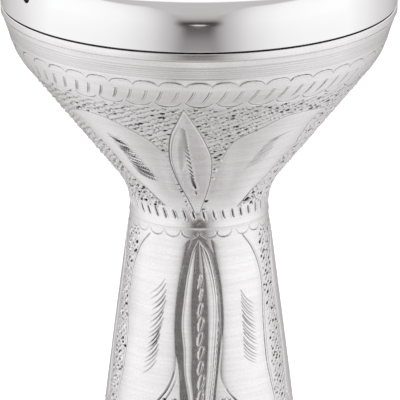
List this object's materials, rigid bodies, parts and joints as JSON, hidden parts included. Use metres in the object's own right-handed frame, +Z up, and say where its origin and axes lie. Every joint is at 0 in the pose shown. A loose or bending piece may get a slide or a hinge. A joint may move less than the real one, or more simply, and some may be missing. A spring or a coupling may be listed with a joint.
{
  "type": "goblet drum",
  "caption": "Cast aluminium goblet drum with an engraved bowl, a narrow neck, a flared foot and a thin film head under a bolted chrome rim.",
  "frame": {"origin": "centre of the foot, on the surface that the drum stands on", "axes": "+Z up along the drum's axis; -Y towards the front of the engraved bowl; +X to the right of the front"},
  "size_m": [0.286, 0.286, 0.44],
  "materials": {
    "shell_cast_aluminium": "satin, engraved by hand with small chisels",
    "rim_chrome": "polished",
    "head_film": "smooth white polyester film",
    "hoop_aluminium": "plain",
    "bolt_steel": "bright plated",
    "washer_steel": "plated",
    "black_steel": "black oxide"
  },
  "bodies": {
    "shell": {"shell": "shell_cast_aluminium", "head_film": "head_film", "flesh_hoop": "hoop_aluminium"},
    "rim": {"rim": "rim_chrome", "rim_grub_screw": "black_steel", "washer_1": "washer_steel", "washer_2": "washer_steel", "washer_3": "washer_steel", "washer_4": "washer_steel", "washer_5": "washer_steel", "washer_6": "washer_steel"},
    "bolt_1": {"tuning_bolt_1": "bolt_steel"},
    "bolt_2": {"tuning_bolt_2": "bolt_steel"},
    "bolt_3": {"tuning_bolt_3": "bolt_steel"},
    "bolt_4": {"tuning_bolt_4": "bolt_steel"},
    "bolt_5": {"tuning_bolt_5": "bolt_steel"},
    "bolt_6": {"tuning_bolt_6": "bolt_steel"}
  },
  "joints": [
    {"name": "rim_slide", "type": "slide", "parent": "shell", "child": "rim", "axis": [0, 0, 1], "range_m": [0, 0.01]},
    {"name": "bolt_1_turn", "type": "hinge", "parent": "rim", "child": "bolt_1", "pos_m": [-0.0625, 0.10825, 0.4334], "axis": [0, 0, 1], "range_deg": [0, 3600]},
    {"name": "bolt_2_turn", "type": "hinge", "parent": "rim", "child": "bolt_2", "pos_m": [-0.125, 0, 0.4334], "axis": [0, 0, 1], "range_deg": [0, 3600]},
    {"name": "bolt_3_turn", "type": "hinge", "parent": "rim", "child": "bolt_3", "pos_m": [-0.0625, -0.10825, 0.4334], "axis": [0, 0, 1], "range_deg": [0, 3600]},
    {"name": "bolt_4_turn", "type": "hinge", "parent": "rim", "child": "bolt_4", "pos_m": [0.0625, -0.10825, 0.4334], "axis": [0, 0, 1], "range_deg": [0, 3600]},
    {"name": "bolt_5_turn", "type": "hinge", "parent": "rim", "child": "bolt_5", "pos_m": [0.125, 0, 0.4334], "axis": [0, 0, 1], "range_deg": [0, 3600]},
    {"name": "bolt_6_turn", "type": "hinge", "parent": "rim", "child": "bolt_6", "pos_m": [0.0625, 0.10825, 0.4334], "axis": [0, 0, 1], "range_deg": [0, 3600]}
  ],
  "couplings": [
    {"joint": "bolt_1_turn", "follows": "rim_slide", "rad_per_m": 6283.2},
    {"joint": "bolt_2_turn", "follows": "rim_slide", "rad_per_m": 6283.2},
    {"joint": "bolt_3_turn", "follows": "rim_slide", "rad_per_m": 6283.2},
    {"joint": "bolt_4_turn", "follows": "rim_slide", "rad_per_m": 6283.2},
    {"joint": "bolt_5_turn", "follows": "rim_slide", "rad_per_m": 6283.2},
    {"joint": "bolt_6_turn", "follows": "rim_slide", "rad_per_m": 6283.2}
  ]
}
